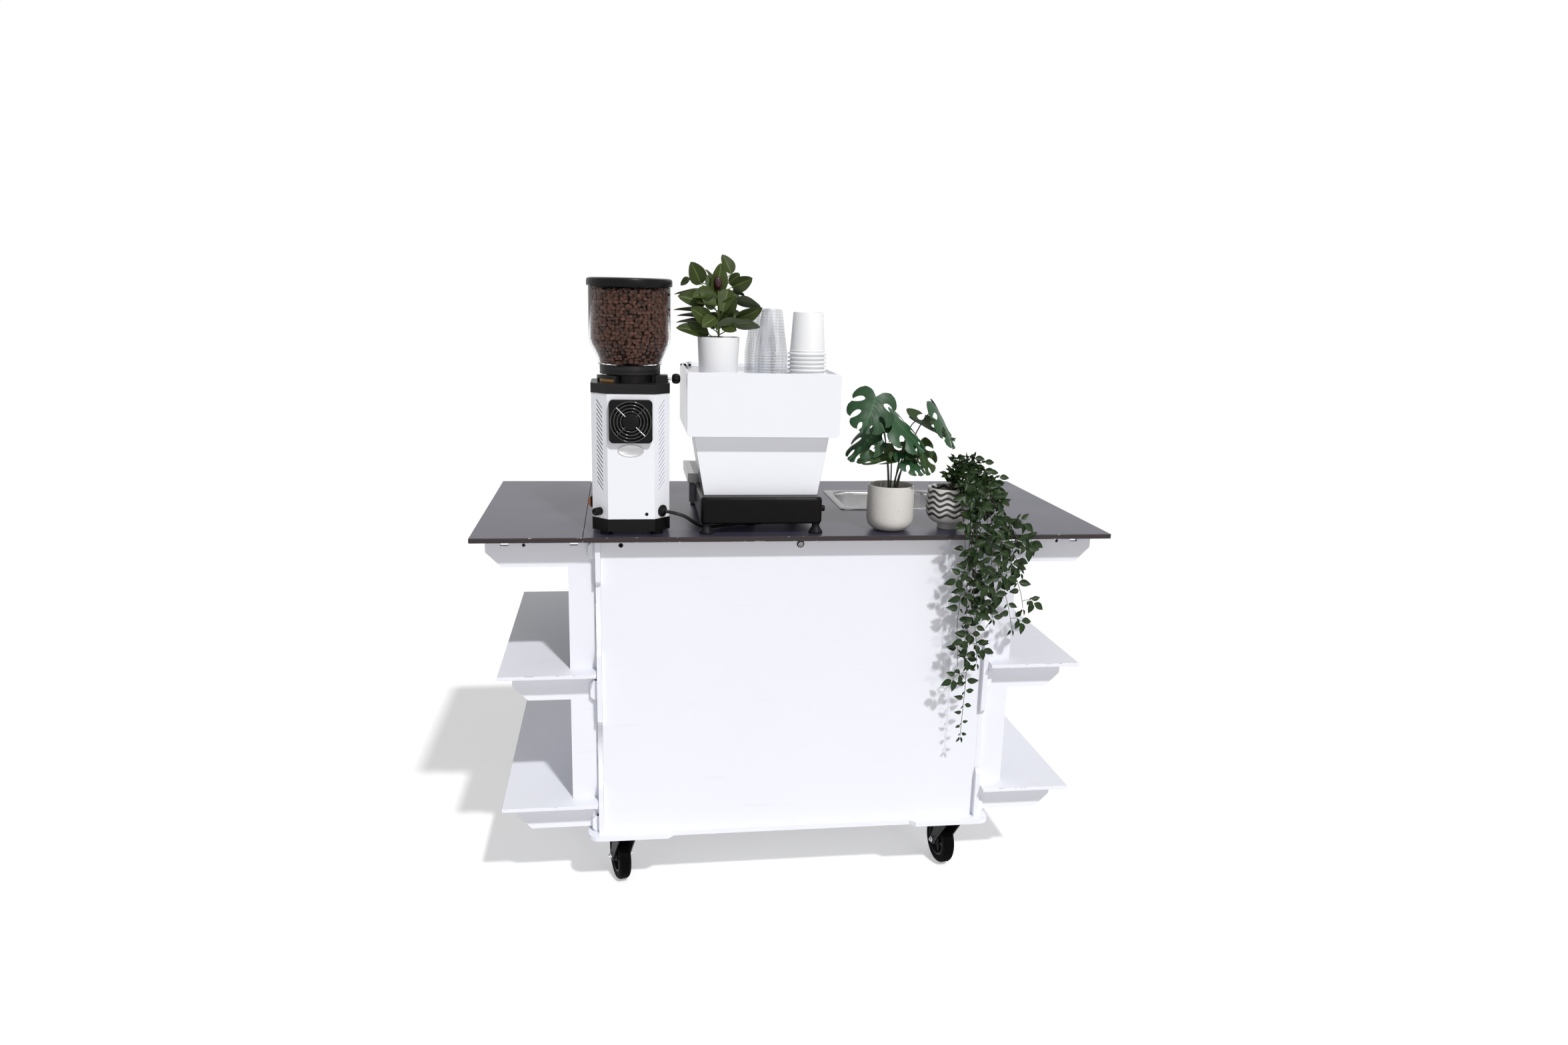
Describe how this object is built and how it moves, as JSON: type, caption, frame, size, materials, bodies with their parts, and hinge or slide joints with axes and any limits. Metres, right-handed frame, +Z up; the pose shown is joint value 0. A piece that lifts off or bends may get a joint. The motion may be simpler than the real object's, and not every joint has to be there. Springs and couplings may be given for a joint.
{
  "type": "coffee cart",
  "caption": "Mobile coffee cart: slotted white plywood body on swivel casters with hook-on shelf wings, sink, grinder, espresso machine, pots, plants and cups.",
  "frame": {"origin": "on the floor, under the middle of the cart's bounding box", "axes": "+Z up, -Y towards the customers, +Y towards the barista, +X to the right seen from the customers' side"},
  "size_m": [1.54, 0.8026, 1.5732],
  "materials": {
    "painted_ply": "white paint, satin, worn at the edges",
    "film_ply": "dark brown film, semi-gloss",
    "sink_steel": "brushed",
    "bright_steel": "polished",
    "black_metal": "black, satin",
    "wheel_rubber": "matte black",
    "white_metal": "white, semi-gloss",
    "black_plastic": "black, satin",
    "foot_rubber": "matte black",
    "brass": "bright",
    "clear": "clear",
    "bean": "roasted, satin",
    "paddle_wood": "oiled",
    "cream_glaze": "satin glaze, fine speckle",
    "wave_glaze": "satin glaze with black wavy lines",
    "white_ceramic": "white, satin",
    "leaf": "artificial leaves, satin",
    "white_card": "white"
  },
  "bodies": {
    "cart": {"base_plate": "painted_ply", "side_panel_left": "painted_ply", "side_panel_right": "painted_ply", "front_panel": "painted_ply", "rear_rail": "painted_ply", "inner_shelf": "painted_ply", "main_top": "film_ply", "sink_basin": "sink_steel", "bolts": "bright_steel", "fan_guard": "bright_steel", "group_head": "bright_steel", "caster_plates": "black_metal", "grinder_cap": "black_metal", "grinder_spout": "black_metal", "grinder_column": "white_metal", "machine_body": "white_metal", "machine_casing": "white_metal", "outlet_box": "black_plastic", "grinder_base": "black_plastic", "grinder_collar": "black_plastic", "fan_box": "black_plastic", "grinder_fittings": "black_plastic", "machine_base": "black_plastic", "machine_feet": "foot_rubber", "grinder_cord": "foot_rubber", "adjust_sector": "brass", "hopper": "clear", "clear_cups": "clear", "beans": "bean", "wavy_pot": "wave_glaze", "white_pot": "white_ceramic", "vine": "leaf", "broad_leaf_plant": "leaf"},
    "left_wing": {"left_brackets": "painted_ply", "left_leaf": "film_ply", "left_mid_shelf": "painted_ply", "left_low_shelf": "painted_ply"},
    "right_wing": {"right_brackets": "painted_ply", "right_leaf": "film_ply", "right_mid_shelf": "painted_ply", "right_low_shelf": "painted_ply"},
    "fork_fl": {"fork_fl": "black_metal"},
    "wheel_fl": {"wheel_fl": "wheel_rubber"},
    "fork_fr": {"fork_fr": "black_metal"},
    "wheel_fr": {"wheel_fr": "wheel_rubber"},
    "fork_rl": {"fork_rl": "black_metal"},
    "wheel_rl": {"wheel_rl": "wheel_rubber"},
    "fork_rr": {"fork_rr": "black_metal"},
    "wheel_rr": {"wheel_rr": "wheel_rubber"},
    "lid": {"hopper_lid": "black_plastic"},
    "fan": {"fan_rotor": "black_plastic"},
    "knob": {"adjust_knob": "black_plastic"},
    "holder": {"filter_holder": "black_plastic"},
    "paddle_arm": {"paddle": "paddle_wood"},
    "wand": {"steam_wand": "bright_steel"},
    "valve": {"steam_knob": "black_plastic"},
    "tray": {"drip_tray": "sink_steel"},
    "lids": {"cup_lids": "white_card"},
    "cream_plant": {"cream_pot": "cream_glaze", "split_leaf_plant": "leaf"}
  },
  "joints": [
    {"name": "left_wing_lift", "type": "slide", "parent": "cart", "child": "left_wing", "axis": [0, 0, 1], "range_m": [0, 0.01]},
    {"name": "right_wing_lift", "type": "slide", "parent": "cart", "child": "right_wing", "axis": [0, 0, 1], "range_m": [0, 0.01]},
    {"name": "swivel_fl", "type": "hinge", "parent": "cart", "child": "fork_fl", "pos_m": [-0.426, -0.28465, 0.15], "axis": [0, 0, 1], "continuous": true},
    {"name": "roll_fl", "type": "hinge", "parent": "fork_fl", "child": "wheel_fl", "pos_m": [-0.43689, -0.24099, 0.0625], "axis": [0.9703, 0.2419, 0], "continuous": true},
    {"name": "swivel_fr", "type": "hinge", "parent": "cart", "child": "fork_fr", "pos_m": [0.426, -0.28465, 0.15], "axis": [0, 0, 1], "continuous": true},
    {"name": "roll_fr", "type": "hinge", "parent": "fork_fr", "child": "wheel_fr", "pos_m": [0.41974, -0.24009, 0.0625], "axis": [0.9903, 0.1392, 0], "continuous": true},
    {"name": "swivel_rl", "type": "hinge", "parent": "cart", "child": "fork_rl", "pos_m": [-0.426, 0.33135, 0.15], "axis": [0, 0, 1], "continuous": true},
    {"name": "roll_rl", "type": "hinge", "parent": "fork_rl", "child": "wheel_rl", "pos_m": [-0.4035, 0.29238, 0.0625], "axis": [-0.866, -0.5, 0], "continuous": true},
    {"name": "swivel_rr", "type": "hinge", "parent": "cart", "child": "fork_rr", "pos_m": [0.426, 0.33135, 0.15], "axis": [0, 0, 1], "continuous": true},
    {"name": "roll_rr", "type": "hinge", "parent": "fork_rr", "child": "wheel_rr", "pos_m": [0.41061, 0.28906, 0.0625], "axis": [-0.9397, 0.342, 0], "continuous": true},
    {"name": "lid_lift", "type": "slide", "parent": "cart", "child": "lid", "axis": [0, 0, 1], "range_m": [0, 0.12]},
    {"name": "fan_spin", "type": "hinge", "parent": "cart", "child": "fan", "pos_m": [-0.403, -0.34365, 1.197], "axis": [0, 1, 0], "continuous": true},
    {"name": "grind_adjust", "type": "hinge", "parent": "cart", "child": "knob", "pos_m": [-0.343, -0.26465, 1.288], "axis": [1, 0, 0], "continuous": true},
    {"name": "holder_turn", "type": "hinge", "parent": "cart", "child": "holder", "pos_m": [-0.096, 0.04835, 1.183], "axis": [0, 0, 1], "range_deg": [-50, 5]},
    {"name": "paddle_turn", "type": "hinge", "parent": "cart", "child": "paddle_arm", "pos_m": [-0.096, 0.04835, 1.263], "axis": [0, 0, 1], "range_deg": [-30, 60]},
    {"name": "wand_swing", "type": "hinge", "parent": "cart", "child": "wand", "pos_m": [0.032, -0.02965, 1.152], "axis": [0, 0, 1], "range_deg": [-60, 60]},
    {"name": "steam_valve", "type": "hinge", "parent": "cart", "child": "valve", "pos_m": [0.032, 0.01135, 1.253], "axis": [0, 1, 0], "range_deg": [0, 300]},
    {"name": "tray_draw", "type": "slide", "parent": "cart", "child": "tray", "axis": [0, 1, 0], "range_m": [0, 0.2]},
    {"name": "lids_lift", "type": "slide", "parent": "cart", "child": "lids", "axis": [0, 0, 1], "range_m": [0, 0.15]},
    {"name": "cream_plant_lift", "type": "slide", "parent": "cart", "child": "cream_plant", "axis": [0, 0, 1], "range_m": [0, 0.15]}
  ]
}
